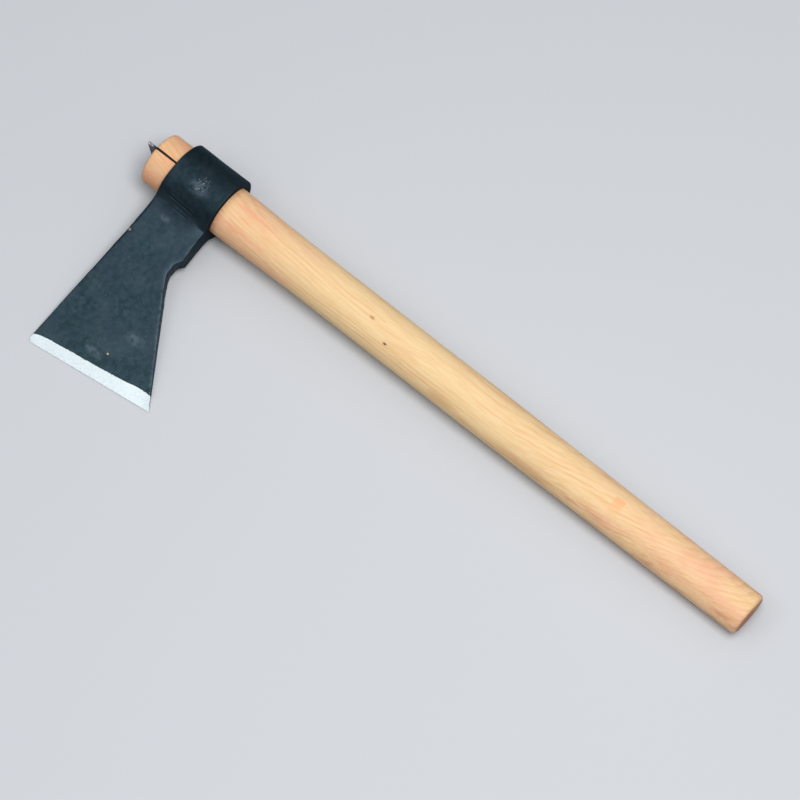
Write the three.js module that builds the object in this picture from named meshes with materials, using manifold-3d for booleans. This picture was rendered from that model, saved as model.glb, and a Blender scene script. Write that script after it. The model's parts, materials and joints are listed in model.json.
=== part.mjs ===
// A small hand axe with a round eye, lying on its side on a flat surface.
//
// Three pieces: a straight wooden haft, a one-piece forged head that the haft passes through,
// and a steel wedge driven part-way into the kerf sawn in the haft's top end.
//
// The pieces are drawn in the axe's own directions and then tipped over together into the pose
// in which such an axe comes to rest. The axe's own directions are: +X along the haft from its
// top end to its butt, -Y towards the cutting edge, Z across the thickness of the blade.
// All sizes are in millimetres.

import * as THREE from 'three';
import { mergeVertices } from 'three/addons/utils/BufferGeometryUtils.js';
import Module from 'manifold-3d';

const wasm = await Module();
wasm.setup();

// ---------------------------------------------------------------- driving dimensions

const GAP = 0.3;                  // clearance left between two pieces that touch
const ROUND_SIDES = 48;           // facets round the haft, the eye and the collar

const HAFT_LENGTH = 440;
const GRIP_RADIUS = 14.8;         // along the straight middle of the haft
const HEAD_SWELL = 2.1;           // how much thicker the haft gets at its top end
const SWELL_REACH = 70;           // length over which that swelling fades out
const BUTT_TAPER = 1.2;           // how much thinner the haft is at the butt
const TAPER_START = 240;          // where the taper to the butt begins
const TOP_ROUNDING = 2.8;         // rounded rim of the top end
const BUTT_DEPTH = 3.6;           // the butt's broad rounding, measured along the haft
const BUTT_BREADTH = 6.5;         // and measured across it

const COLLAR_FRONT = 17;          // the collar's two ends, measured from the haft's top end
const COLLAR_BACK = 53.5;
const COLLAR_RADIUS = 20.9;
const COLLAR_CHAMFER = 0.6;

const TOE = new THREE.Vector2(11.7, -132.7);       // the two ends of the cutting edge
const HEEL = new THREE.Vector2(95.7, -121.5);
const FLARE_START = new THREE.Vector2(59.4, -65.8);  // where the back edge turns to the heel
const THROAT_X = 51.4;            // the narrowest place of the neck
const THROAT_LOW = -51;
const THROAT_HIGH = -46.3;
const STEP_X = 54.1;              // small forged step between the throat and the collar
const STEP_Y = -41.2;

const EDGE_HALF = 0.15;           // half of what is left of the thickness at the cutting edge
const BEVEL_SLOPE = 0.21;         // each ground bevel rises by this much per millimetre
const SHOULDER_Y = -120;          // level at which the blade's thickness is stated
const SHOULDER_HALF = 1.7;        // half thickness of the blade there
const CHEEK_SLOPE = 0.045;        // growth of the half thickness over the flat cheek
const CHEEK_TOP_Y = -80;          // above this level the neck thickens faster
const NECK_TOP_Y = -16;           // level at which the neck meets the collar
const NECK_SWELL = 2.5;           // extra half thickness gained between those two levels
const FULLER_Y = -31;             // above this level the neck also flares out into the collar
const FULLER_SWELL = 4.2;         // extra half thickness that the flare gains up to NECK_TOP_Y
const FULLER_FADE = 44;           // behind this place along the haft the flare fades out

const KERF_TURN = THREE.MathUtils.degToRad(-3.3);   // the kerf's turn about the haft
const KERF_DEPTH = 40;
const KERF_WIDTH_TOP = 2.4;
const KERF_WIDTH_BOTTOM = 1.2;

const WEDGE_OUT = 5.9;            // how far the wedge stands out of the haft
const WEDGE_LENGTH = 34;
const WEDGE_BREADTH = 32;
const WEDGE_THICK = 2.0;
const WEDGE_THIN = 0.6;

// ---------------------------------------------------------------- materials

const rawWood = new THREE.MeshStandardMaterial({ color: 0xd9ab7c, roughness: 0.62, metalness: 0 });
const blackSteel = new THREE.MeshStandardMaterial({ color: 0x2e363b, roughness: 0.55, metalness: 0.6 });
const greySteel = new THREE.MeshStandardMaterial({ color: 0x6e7072, roughness: 0.5, metalness: 0.8 });
blackSteel.flatShading = true;
greySteel.flatShading = true;

// ---------------------------------------------------------------- solids and booleans

function toSolid(geometry) {
  const bare = geometry.clone();
  bare.deleteAttribute('normal');
  bare.deleteAttribute('uv');
  const merged = mergeVertices(bare, 1e-4);
  const vertProperties = new Float32Array(merged.attributes.position.array);
  const triVerts = new Uint32Array(merged.index.array);
  return new wasm.Manifold(new wasm.Mesh({ numProp: 3, vertProperties, triVerts }));
}

function toGeometry(solid) {
  const mesh = solid.getMesh();
  const geometry = new THREE.BufferGeometry();
  geometry.setAttribute('position', new THREE.BufferAttribute(mesh.vertProperties, mesh.numProp));
  geometry.setIndex(new THREE.BufferAttribute(mesh.triVerts, 1));
  geometry.computeVertexNormals();
  return geometry;
}

// A turned solid: the outline is a list of [distance along the haft, radius].
function turned(outline) {
  const profile = outline.map(([along, radius]) => new THREE.Vector2(radius, along));
  return new THREE.LatheGeometry(profile, ROUND_SIDES).rotateZ(-Math.PI / 2);
}

// A prism: the outline's own x, y and depth directions are laid along the three given ones.
function prism(outline, depth, alongX, alongY, alongDepth) {
  const block = new THREE.ExtrudeGeometry(outline, { depth, bevelEnabled: false, curveSegments: 6 });
  block.translate(0, 0, -depth / 2);
  return block.applyMatrix4(new THREE.Matrix4().makeBasis(alongX, alongY, alongDepth));
}

const X = new THREE.Vector3(1, 0, 0);
const Y = new THREE.Vector3(0, 1, 0);
const Z = new THREE.Vector3(0, 0, 1);

// ---------------------------------------------------------------- haft

function haftRadius(along) {
  const swell = HEAD_SWELL * Math.exp(-((along / SWELL_REACH) ** 2));
  const taper = BUTT_TAPER * Math.max(0, (along - TAPER_START) / (HAFT_LENGTH - TAPER_START));
  return GRIP_RADIUS + swell - taper;
}

// Points on a rounded rim, from the side of the haft to its flat end at `end`.
function roundedRim(end, depth, breadth, inward) {
  const steps = 5;
  const rim = haftRadius(end);
  const points = [];
  for (let i = 0; i <= steps; i += 1) {
    const turn = (i / steps) * (Math.PI / 2);
    const along = end + inward * depth * (1 - Math.sin(turn));
    points.push([along, rim - breadth + breadth * Math.cos(turn)]);
  }
  return points;
}

function makeHaft() {
  const spacing = 18;
  const outline = [[0, 0], ...roundedRim(0, TOP_ROUNDING, TOP_ROUNDING, 1).reverse()];
  for (let along = spacing; along < HAFT_LENGTH - spacing / 2; along += spacing) {
    outline.push([along, haftRadius(along)]);
  }
  outline.push(...roundedRim(HAFT_LENGTH, BUTT_DEPTH, BUTT_BREADTH, -1), [HAFT_LENGTH, 0]);
  return outline;
}

function makeKerf() {
  const reach = 4;
  const widen = (KERF_WIDTH_TOP - KERF_WIDTH_BOTTOM) / KERF_DEPTH;
  const mouth = (KERF_WIDTH_TOP + widen * reach) / 2;
  const floor = KERF_WIDTH_BOTTOM / 2;
  const slot = new THREE.Shape();
  slot.moveTo(-reach, -mouth);
  slot.lineTo(KERF_DEPTH, -floor);
  slot.lineTo(KERF_DEPTH, floor);
  slot.lineTo(-reach, mouth);
  return prism(slot, 3 * GRIP_RADIUS, X, Y, Z).rotateX(KERF_TURN);
}

const haftSolid = toSolid(turned(makeHaft())).subtract(toSolid(makeKerf()));
const haft = new THREE.Mesh(toGeometry(haftSolid), rawWood);
haft.name = 'haft';

// ---------------------------------------------------------------- axe head

function bladeOutline() {
  const outline = new THREE.Shape();
  outline.moveTo(COLLAR_FRONT, 0);
  outline.lineTo(TOE.x, TOE.y);
  outline.lineTo(HEEL.x, HEEL.y);
  outline.lineTo(FLARE_START.x, FLARE_START.y);
  outline.quadraticCurveTo(THROAT_X + 2, THROAT_LOW - 6.5, THROAT_X, THROAT_LOW);
  outline.lineTo(THROAT_X, THROAT_HIGH);
  outline.quadraticCurveTo(THROAT_X + 0.2, STEP_Y - 2.2, STEP_X - 0.9, STEP_Y - 1.1);
  outline.lineTo(STEP_X, STEP_Y);
  outline.lineTo(COLLAR_BACK, FULLER_Y);
  outline.lineTo(COLLAR_BACK, 0);
  return outline;
}

function halfThickness(y) {
  const flat = SHOULDER_HALF + CHEEK_SLOPE * (y - SHOULDER_Y);
  const above = Math.max(0, (y - CHEEK_TOP_Y) / (NECK_TOP_Y - CHEEK_TOP_Y));
  return flat + NECK_SWELL * above ** 2;
}

function sideOutline() {
  const steps = 8;
  const levels = [TOE.y - 5];
  for (let i = 0; i <= steps; i += 1) {
    levels.push(CHEEK_TOP_Y + (i / steps) * (NECK_TOP_Y - CHEEK_TOP_Y));
  }
  const upper = levels.map((y) => new THREE.Vector2(y, halfThickness(y)));
  const inside = new THREE.Vector2(NECK_TOP_Y + 5, halfThickness(NECK_TOP_Y));
  const half = [...upper, inside];
  const mirrored = half.map((point) => new THREE.Vector2(point.x, -point.y)).reverse();
  return new THREE.Shape([...half, ...mirrored]);
}

// The flare of the neck: seen along the haft it widens up to the collar, and seen from above
// it narrows again towards the back, where the neck meets the collar in a plain valley.
function flareOutline() {
  const steps = 6;
  const half = [];
  for (let i = 0; i <= steps; i += 1) {
    const y = FULLER_Y + (i / steps) * (NECK_TOP_Y - FULLER_Y);
    half.push(new THREE.Vector2(y, halfThickness(y) + FULLER_SWELL * (i / steps) ** 2));
  }
  half.push(new THREE.Vector2(NECK_TOP_Y + 5, halfThickness(NECK_TOP_Y)));
  const mirrored = half.map((point) => new THREE.Vector2(point.x, -point.y)).reverse();
  return new THREE.Shape([...half, ...mirrored]);
}

function fadeOutline() {
  const full = halfThickness(NECK_TOP_Y) + FULLER_SWELL;
  const plain = halfThickness(FULLER_Y);
  return new THREE.Shape([
    new THREE.Vector2(0, -full),
    new THREE.Vector2(FULLER_FADE, -full),
    new THREE.Vector2(COLLAR_BACK, -plain),
    new THREE.Vector2(COLLAR_BACK, plain),
    new THREE.Vector2(FULLER_FADE, full),
    new THREE.Vector2(0, full),
  ]);
}

function makeBevels() {
  const height = 180;
  const wedge = new THREE.Shape();
  wedge.moveTo(0, -EDGE_HALF);
  wedge.lineTo(height, -EDGE_HALF - BEVEL_SLOPE * height);
  wedge.lineTo(height, EDGE_HALF + BEVEL_SLOPE * height);
  wedge.lineTo(0, EDGE_HALF);
  const along = new THREE.Vector3(HEEL.x - TOE.x, HEEL.y - TOE.y, 0).normalize();
  const inward = new THREE.Vector3(-along.y, along.x, 0);
  const middle = TOE.clone().lerp(HEEL, 0.5);
  return prism(wedge, 2 * TOE.distanceTo(HEEL), inward, Z, along).translate(middle.x, middle.y, 0);
}

function makeCollar() {
  const inner = COLLAR_RADIUS - COLLAR_CHAMFER;
  return turned([
    [COLLAR_FRONT, 0],
    [COLLAR_FRONT, inner],
    [COLLAR_FRONT + COLLAR_CHAMFER, COLLAR_RADIUS],
    [COLLAR_BACK - COLLAR_CHAMFER, COLLAR_RADIUS],
    [COLLAR_BACK, inner],
    [COLLAR_BACK, 0],
  ]);
}

function makeEye() {
  const steps = 4;
  const start = COLLAR_FRONT - 5;
  const end = COLLAR_BACK + 5;
  const outline = [[start, 0]];
  for (let i = 0; i <= steps; i += 1) {
    const along = start + (i / steps) * (end - start);
    outline.push([along, haftRadius(along) + GAP]);
  }
  outline.push([end, 0]);
  return turned(outline);
}

const blank = toSolid(prism(bladeOutline(), 2 * COLLAR_RADIUS, X, Y, Z));
const thickness = toSolid(prism(sideOutline(), 2 * HEEL.x + 10, Y, Z, X));
const blade = blank.intersect(thickness).intersect(toSolid(makeBevels()));
const flaring = toSolid(prism(flareOutline(), 2 * HEEL.x, Y, Z, X));
const fading = toSolid(prism(fadeOutline(), 2 * TOE.length(), X, Z, Y.clone().negate()));
const flare = blank.intersect(flaring).intersect(fading);
const collar = toSolid(makeCollar());
const headSolid = blade.add(flare).add(collar).subtract(toSolid(makeEye()));
const axeHead = new THREE.Mesh(toGeometry(headSolid), blackSteel);
axeHead.name = 'axe_head';

// ---------------------------------------------------------------- steel wedge

function makeWedge() {
  const outline = new THREE.Shape();
  outline.moveTo(0, -WEDGE_THICK / 2);
  outline.lineTo(WEDGE_LENGTH, -WEDGE_THIN / 2);
  outline.lineTo(WEDGE_LENGTH, WEDGE_THIN / 2);
  outline.lineTo(0, WEDGE_THICK / 2);
  return prism(outline, WEDGE_BREADTH, X, Y, Z);
}

const steelWedge = new THREE.Mesh(makeWedge(), greySteel);
steelWedge.name = 'steel_wedge';
steelWedge.position.x = -WEDGE_OUT;
steelWedge.rotation.x = KERF_TURN;

// ---------------------------------------------------------------- rest pose

// The axe lies on three points: the collar's rim next to the haft, the butt's lower rim and the
// toe of the blade. The haft tips by `pitch`, because the collar is thicker than the butt, and
// the blade rolls down by `roll` until its toe touches too.
const rimAlong = COLLAR_BACK - COLLAR_CHAMFER;
const buttAlong = HAFT_LENGTH - BUTT_DEPTH;
const pitch = Math.atan((COLLAR_RADIUS - haftRadius(HAFT_LENGTH)) / (buttAlong - rimAlong));
const drop = COLLAR_RADIUS + (rimAlong - TOE.x) * Math.tan(pitch);
const roll = Math.asin(drop / -TOE.y);

const rolled = new THREE.Group();
rolled.rotation.x = roll;
rolled.add(haft, axeHead, steelWedge);

const axe = new THREE.Group();
axe.rotation.y = pitch;
axe.add(rolled);

// The origin is the middle of the bounding box, on the surface that the axe lies on.
const group = new THREE.Group();
group.add(axe);
group.updateMatrixWorld(true);
const bounds = new THREE.Box3().setFromObject(group, true);
const middle = bounds.getCenter(new THREE.Vector3());
axe.position.set(-middle.x, -middle.y, -bounds.min.z);

export default group;
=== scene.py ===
# %% [markdown]
# # A small hand axe, lying on its side
#
# This lesson dresses a measured axe: a straight ash-coloured haft, a blackened forged head with a
# bright ground edge, and the steel wedge that spreads the haft in the eye. The measured solids
# come from the shop's CAD model and stay where they are. What we add is everything that makes
# them look like wood and iron.

# %% Load the measured axe
import json
import math

import bmesh
import bpy
import numpy as np
from mathutils import Matrix, Vector, noise


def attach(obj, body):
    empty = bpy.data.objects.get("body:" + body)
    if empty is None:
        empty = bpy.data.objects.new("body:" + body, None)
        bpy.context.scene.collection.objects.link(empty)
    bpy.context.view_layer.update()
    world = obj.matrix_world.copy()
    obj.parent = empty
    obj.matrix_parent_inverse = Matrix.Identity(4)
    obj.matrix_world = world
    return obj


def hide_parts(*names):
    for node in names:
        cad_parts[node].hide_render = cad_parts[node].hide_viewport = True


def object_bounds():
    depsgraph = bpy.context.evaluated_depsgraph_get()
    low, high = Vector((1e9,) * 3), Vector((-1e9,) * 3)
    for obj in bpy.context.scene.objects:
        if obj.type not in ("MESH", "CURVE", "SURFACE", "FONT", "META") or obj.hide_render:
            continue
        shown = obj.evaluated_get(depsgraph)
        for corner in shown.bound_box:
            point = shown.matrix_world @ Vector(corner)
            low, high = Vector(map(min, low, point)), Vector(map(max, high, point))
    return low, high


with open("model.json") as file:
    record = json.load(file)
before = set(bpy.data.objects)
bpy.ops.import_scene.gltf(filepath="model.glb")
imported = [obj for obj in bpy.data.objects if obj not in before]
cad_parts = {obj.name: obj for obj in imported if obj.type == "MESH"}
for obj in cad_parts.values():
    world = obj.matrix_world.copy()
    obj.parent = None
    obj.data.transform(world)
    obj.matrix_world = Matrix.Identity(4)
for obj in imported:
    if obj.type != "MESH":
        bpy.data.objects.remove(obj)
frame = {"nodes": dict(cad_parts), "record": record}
measured_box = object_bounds()
print("measured box", [[round(v, 4) for v in corner] for corner in measured_box])

# %% [markdown]
# ## The axe's own directions
#
# The axe lies a little tipped, because it rests on its collar, its butt and the toe of its blade.
# Drawing it in that tipped pose would be awkward, so we work in the axe's own directions: along
# the haft from top end to butt (x), away from the cutting edge (y) and across the thickness of
# the blade (z). The flat faces that the CAD record states give those directions: the butt looks
# along x, and the two cheeks look up and down across the blade. One matrix then carries every
# finished piece from the drawing into its real pose.

# %% Find the axe's own directions
MM = 0.001
faces = {m["name"]: m for m in frame["record"]["mounts"]}


def face_direction(name):
    return Vector(faces[name]["axis"]).normalized()


along = face_direction("butt_end")
upper, lower = face_direction("cheek_upper"), face_direction("cheek_lower")
thickness_way = (upper - lower).normalized()
thickness_way = (thickness_way - along * thickness_way.dot(along)).normalized()
edge_to_poll = thickness_way.cross(along)

haft_points = [v.co.dot(along) for v in frame["nodes"]["haft"].data.vertices]
haft_length = (max(haft_points) - min(haft_points)) / MM
top_end = Vector(faces["butt_end"]["pos_m"]) - along * haft_length * MM
directions = Matrix((along, edge_to_poll, thickness_way)).transposed().to_4x4()
axe_pose = Matrix.Translation(top_end) @ directions @ Matrix.Scale(MM, 4)
print("haft length in mm", round(haft_length, 1))

# %% [markdown]
# The sizes below repeat the driving dimensions of the CAD drawing, in millimetres. Anything that
# the frame can tell us, we read from the frame instead.

# %% Driving dimensions, in millimetres
GRIP_RADIUS = 14.8
HEAD_SWELL, SWELL_REACH = 2.1, 70
BUTT_TAPER, TAPER_START = 1.2, 240
COLLAR_FRONT, COLLAR_BACK, COLLAR_RADIUS = 17.0, 53.5, 20.9
TOE, HEEL = (11.7, -132.7), (95.7, -121.5)
SHOULDER_Y, SHOULDER_HALF, CHEEK_SLOPE = -120.0, 1.7, 0.045
CHEEK_TOP_Y, NECK_TOP_Y, NECK_SWELL = -80.0, -16.0, 2.5
EDGE_HALF = 0.12
KERF_TURN = math.radians(-3.3)
WEDGE_OUT, WEDGE_LENGTH, WEDGE_BREADTH = 5.9, 34.0, 32.0


def haft_radius(x):
    swell = HEAD_SWELL * math.exp(-((x / SWELL_REACH) ** 2))
    taper = BUTT_TAPER * max(0.0, (x - TAPER_START) / (haft_length - TAPER_START))
    return GRIP_RADIUS + swell - taper


def smooth(low, high, value):
    """0 below low, 1 above high, and a soft step between them."""
    t = min(1.0, max(0.0, (value - low) / (high - low)))
    return t * t * (3 - 2 * t)


def bump_at(x, y, z, size):
    """Soft random height from -1 to 1, whose lumps are about `size` millimetres across."""
    return noise.noise(Vector((x / size, y / size, z / size)))


# %% [markdown]
# ## Small helpers for meshes
#
# Every piece is a list of points and a list of faces. A net of points is the easiest thing to
# shape by formula, so one helper joins neighbouring rows of points with quads. Where rows meet,
# their points coincide, and merging by distance closes the skin.

# %% Mesh helpers
def sew(rows, closed=False):
    """Quads between neighbouring rows of point numbers; closed joins each row's two ends."""
    quads = []
    for a, b in zip(rows, rows[1:]):
        last = len(a) if closed else len(a) - 1
        for i in range(last):
            j = (i + 1) % len(a)
            quads.append((a[i], a[j], b[j], b[i]))
    return quads


MERGE_WITHIN, COLLAPSE_BELOW = 0.002, 0.0005


def make_piece(name, points, quads, finishes):
    """A smooth-shaded object from points in millimetres; points that coincide are merged."""
    mesh = bpy.data.meshes.new(name)
    mesh.from_pydata([tuple(p) for p in points], [], quads)
    net = bmesh.new()
    net.from_mesh(mesh)
    bmesh.ops.remove_doubles(net, verts=net.verts, dist=MERGE_WITHIN)
    bmesh.ops.dissolve_degenerate(net, edges=net.edges, dist=COLLAPSE_BELOW)
    bmesh.ops.recalc_face_normals(net, faces=net.faces)
    for face in net.faces:
        face.smooth = True
    open_edges = sum(1 for e in net.edges if not e.is_manifold)
    net.to_mesh(mesh)
    net.free()
    piece = bpy.data.objects.new(name, mesh)
    bpy.context.scene.collection.objects.link(piece)
    for finish in finishes:
        mesh.materials.append(finish)
    counts = f"{len(mesh.vertices)} points, {len(mesh.polygons)} faces, {open_edges} open edges"
    print(name, counts)
    return piece


# %% [markdown]
# ## Small helpers for finishes
#
# A finish is a network of shader nodes. The helpers add sums, soft steps, clouds of noise, soft
# spots and tints to it, so that each finish below reads as a recipe. A finished piece's points
# are stored in metres in the axe's real pose. A mapping node of type Texture undoes that pose, so
# every recipe can speak of millimetres along the axe's own directions, and the grain runs with
# the haft.

# %% Finish helpers
class Recipe:
    """A new material with its Principled shader, and short words for adding nodes to it."""

    def __init__(self, name):
        self.material = bpy.data.materials.new(name)
        self.material.use_nodes = True
        self.tree = self.material.node_tree
        self.shader = self.tree.nodes["Principled BSDF"]
        stored = self.tree.nodes.new("ShaderNodeTexCoord").outputs["Object"]
        unposed = self.add("ShaderNodeMapping", {"vector_type": "TEXTURE"}, Vector=stored)
        unposed.inputs["Location"].default_value = axe_pose.to_translation()
        unposed.inputs["Rotation"].default_value = axe_pose.to_euler()
        unposed.inputs["Scale"].default_value = (MM, MM, MM)
        self.place = unposed.outputs["Vector"]
        split = self.add("ShaderNodeSeparateXYZ", Vector=self.place)
        self.x, self.y, self.z = split.outputs
        facing = self.add("ShaderNodeVectorMath", {"operation": "DOT_PRODUCT"})
        self.feed(facing.inputs[0], self.tree.nodes.new("ShaderNodeNewGeometry").outputs["Normal"])
        facing.inputs[1].default_value = along
        self.facing_along = facing.outputs["Value"]

    def add(self, kind, settings=None, **inputs):
        node = self.tree.nodes.new(kind)
        for key, value in (settings or {}).items():
            setattr(node, key, value)
        for key, value in inputs.items():
            self.feed(node.inputs[key.replace("_", " ")], value)
        return node

    def feed(self, socket, value):
        if isinstance(value, bpy.types.NodeSocket):
            self.tree.links.new(value, socket)
        else:
            socket.default_value = value

    def reckon(self, operation, a, b=0.0):
        node = self.add("ShaderNodeMath", {"operation": operation})
        for socket, value in zip(node.inputs, (a, b)):
            self.feed(socket, value)
        return node.outputs[0]

    def times(self, a, b):
        return self.reckon("MULTIPLY", a, b)

    def plus(self, a, b):
        return self.reckon("ADD", a, b)

    def step(self, value, low, high):
        """A soft step of `value` from 0 at low to 1 at high; low may be the larger."""
        flip = low > high
        node = self.add("ShaderNodeMapRange", {"interpolation_type": "SMOOTHSTEP"}, Value=value)
        node.inputs["From Min"].default_value = high if flip else low
        node.inputs["From Max"].default_value = low if flip else high
        node.inputs["To Min"].default_value = 1.0 if flip else 0.0
        node.inputs["To Max"].default_value = 0.0 if flip else 1.0
        return node.outputs["Result"]

    def blend(self, mask, a, b, mode="MIX"):
        """Colour a where the mask is 0 and colour b where it is 1."""
        node = self.add("ShaderNodeMix", {"data_type": "RGBA", "blend_type": mode})
        for socket, value in ((0, mask), (6, a), (7, b)):
            self.feed(node.inputs[socket], value)
        return node.outputs[2]

    def tinted(self, tone, mask, strength, tint):
        """The tone with a tint laid over it, which covers `strength` of it where the mask is 1."""
        return self.blend(self.times(mask, strength), tone, colour(*tint))

    def squeezed(self, sx, sy, sz, source=None):
        """The position in millimetres, multiplied by a number in each direction."""
        node = self.add("ShaderNodeVectorMath", {"operation": "MULTIPLY"})
        self.feed(node.inputs[0], source or self.place)
        node.inputs[1].default_value = (sx, sy, sz)
        return node.outputs[0]

    def cloud(self, place, detail=3.0, roughness=0.5):
        """Soft noise from 0 to 1, whose lumps are as large as the squeezed place makes them."""
        node = self.add("ShaderNodeTexNoise", Vector=place, Scale=1.0, Detail=detail)
        node.inputs["Roughness"].default_value = roughness
        return node.outputs["Fac"]

    def near(self, centre, radii):
        """A soft spot: 1 at the centre, 0 outside the three radii."""
        node = self.add("ShaderNodeVectorMath", {"operation": "SUBTRACT"})
        self.feed(node.inputs[0], self.place)
        node.inputs[1].default_value = centre
        away = self.squeezed(*[1.0 / r for r in radii], source=node.outputs[0])
        length = self.add("ShaderNodeVectorMath", {"operation": "LENGTH"})
        self.feed(length.inputs[0], away)
        return self.step(length.outputs["Value"], 1.0, 0.2)

    def relief(self, height, depth):
        """Tilts the surface as if `height` from 0 to 1 were a relief of `depth` millimetres."""
        return self.add("ShaderNodeBump", Height=height, Distance=depth * MM).outputs["Normal"]


def colour(red, green, blue):
    """Screen colour numbers from 0 to 255, as the linear colour that a shader wants."""
    shares = [value / 255 for value in (red, green, blue)]
    return (*[((v + 0.055) / 1.055) ** 2.4 if v > 0.04 else v / 12.92 for v in shares], 1.0)


# %% [markdown]
# ## The floor, the light and the camera
#
# A pale, matt sheet is enough for a floor: it takes the tool's shadow, throws soft light back up
# under it, and is so large that its border never shows.

# %% Floor
FLOOR_HALF = 3.0

floor_mesh = bpy.data.meshes.new("pale_floor")
corners = [(sx * FLOOR_HALF, sy * FLOOR_HALF, 0) for sx, sy in ((-1, -1), (1, -1), (1, 1), (-1, 1))]
floor_mesh.from_pydata(corners, [], [(0, 1, 2, 3)])
floor = bpy.data.objects.new("pale_floor", floor_mesh)
bpy.context.scene.collection.objects.link(floor)
floor_paint = bpy.data.materials.new("pale_floor_paint")
floor_paint.use_nodes = True
floor_shader = floor_paint.node_tree.nodes["Principled BSDF"]
floor_shader.inputs["Base Color"].default_value = colour(190, 192, 195)
floor_shader.inputs["Roughness"].default_value = 0.9
floor_mesh.materials.append(floor_paint)

# %% [markdown]
# Tools look best under a large, soft light: wood shows its grain and dark iron shows its form
# only through what it reflects. A wide softbox hangs almost overhead, and a second and weaker one
# leans towards the blade's side, where the ground bevel mirrors it to the camera.

# %% Softboxes
middle = (measured_box[0] + measured_box[1]) / 2


def softbox(name, place, size, power, tint=(1.0, 1.0, 1.0)):
    """A round light that looks at the axe's middle, from which its place is counted."""
    light = bpy.data.lights.new(name, "AREA")
    light.shape = "DISK"
    light.size = size
    light.energy = power
    light.color = tint
    lamp = bpy.data.objects.new(name, light)
    bpy.context.scene.collection.objects.link(lamp)
    lamp.location = middle + Vector(place)
    lamp.rotation_euler = (-Vector(place)).to_track_quat("-Z", "Y").to_euler()


softbox("key_softbox", (0.4, -0.1, 1.6), size=0.8, power=21.5)
softbox("blade_side_softbox", (-0.4, -0.75, 1.6), size=0.7, power=3.0, tint=(0.95, 0.98, 1.0))

# %% [markdown]
# The sky does the rest. A sky of one brightness would lift every shadow alike. This one is bright
# overhead and dim at the horizon, as in a room with a pale ceiling, so faces that look sideways
# go dark and the round pieces read as round.

# %% The sky
HORIZON_GLOW, CEILING_GLOW, CEILING_STARTS = 0.12, 0.8, 0.1

sky = bpy.data.worlds.new("studio")
sky.use_nodes = True
sky_nodes, sky_links = sky.node_tree.nodes, sky.node_tree.links
backdrop = sky_nodes["Background"]
backdrop.inputs["Color"].default_value = colour(236, 240, 246)
height = sky_nodes.new("ShaderNodeSeparateXYZ")
ceiling = sky_nodes.new("ShaderNodeMapRange")
ceiling.interpolation_type = "SMOOTHSTEP"
ceiling.inputs["From Min"].default_value = CEILING_STARTS
ceiling.inputs["To Min"].default_value = HORIZON_GLOW
ceiling.inputs["To Max"].default_value = CEILING_GLOW
sky_links.new(sky_nodes.new("ShaderNodeTexCoord").outputs["Generated"], height.inputs[0])
sky_links.new(height.outputs["Z"], ceiling.inputs["Value"])
sky_links.new(ceiling.outputs["Result"], backdrop.inputs["Strength"])
bpy.context.scene.world = sky
bpy.context.scene.view_settings.view_transform = "Standard"

# %% [markdown]
# The camera looks down from above the butt's side. A short lens close by would make the haft's
# near end look like a club. A long lens, more than two metres away, keeps its sides nearly
# parallel.

# %% Camera
VIEW_ROUND, VIEW_HEIGHT = math.radians(39.87), math.radians(67.56)
VIEW_DISTANCE = 2.292
AIM_OFF_CENTRE = Vector((-0.0093, 0.0273, 0.0))

lens = bpy.data.cameras.new("long_lens")
lens.sensor_width = 36
lens.lens = 180
lens.clip_end = 20
camera = bpy.data.objects.new("camera", lens)
bpy.context.scene.collection.objects.link(camera)
level = math.cos(VIEW_HEIGHT)
towards_camera = Vector((
    math.sin(VIEW_ROUND) * level,
    -math.cos(VIEW_ROUND) * level,
    math.sin(VIEW_HEIGHT),
))
aim = middle + AIM_OFF_CENTRE
aim.z = top_end.z
camera.location = aim + towards_camera * VIEW_DISTANCE
camera.rotation_euler = (-towards_camera).to_track_quat("-Z", "Y").to_euler()
bpy.context.scene.camera = camera
print("camera", [round(v, 3) for v in camera.location])

# %% [markdown]
# ## Raw wood
#
# The haft is pale, sanded hardwood without any varnish. Its figure isn't painted on: it is what
# shows where a round stick cuts through the tree's year rings. A wave texture could draw stripes,
# but never these long ovals. So the finish works out how far every point is from the heart of the
# tree, and turns that distance into rings. The tree grew slightly bowed, which is why the lines
# sweep across the haft towards the butt, and they swing round a pin knot.

# %% The year rings
BOW_MIDDLE = 175.0
HEART_BELOW, HEART_ASIDE = 58.0, 20.0
RING_WIDTH = 2.5


def year_rings(wood):
    """A mask of the dark late wood, and the position as the grain sees it, which is straight."""
    bow = wood.reckon("ABSOLUTE", wood.reckon("SUBTRACT", wood.x, BOW_MIDDLE))
    sweep = wood.times(wood.reckon("POWER", bow, 2.0), 1.25e-4)
    sweep = wood.plus(sweep, wood.times(wood.reckon("POWER", bow, 3.0), 1.76e-6))
    drift = wood.cloud(wood.squeezed(0.012, 0.03, 0.03), detail=2.0)
    wander = wood.cloud(wood.squeezed(0.045, 0.09, 0.09), detail=2.0)
    round_knot = wood.near((171.0, -3.0, 14.5), (26.0, 7.5, 7.5))
    level_line = wood.reckon("SUBTRACT", wood.y, sweep)
    for push, reach in ((drift, 9.0), (wander, 2.6), (round_knot, 1.8)):
        level_line = wood.plus(level_line, wood.times(push, reach))
    from_heart = wood.plus(level_line, HEART_BELOW)
    aside = wood.plus(wood.z, HEART_ASIDE)
    squares = wood.plus(wood.times(from_heart, from_heart), wood.times(aside, aside))
    rings = wood.reckon("DIVIDE", wood.reckon("SQRT", squares), RING_WIDTH)
    year = wood.reckon("FRACT", rings)
    late = wood.times(wood.step(year, 0.3, 0.9), wood.step(year, 1.0, 0.92))
    strong_years = wood.cloud(wood.squeezed(0.008, 0.2, 0.2), detail=2.0)
    late = wood.times(late, wood.step(strong_years, 0.35, 0.72))
    with_grain = wood.add("ShaderNodeCombineXYZ", X=wood.x, Y=level_line, Z=wood.z).outputs[0]
    return late, with_grain, wander


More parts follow.
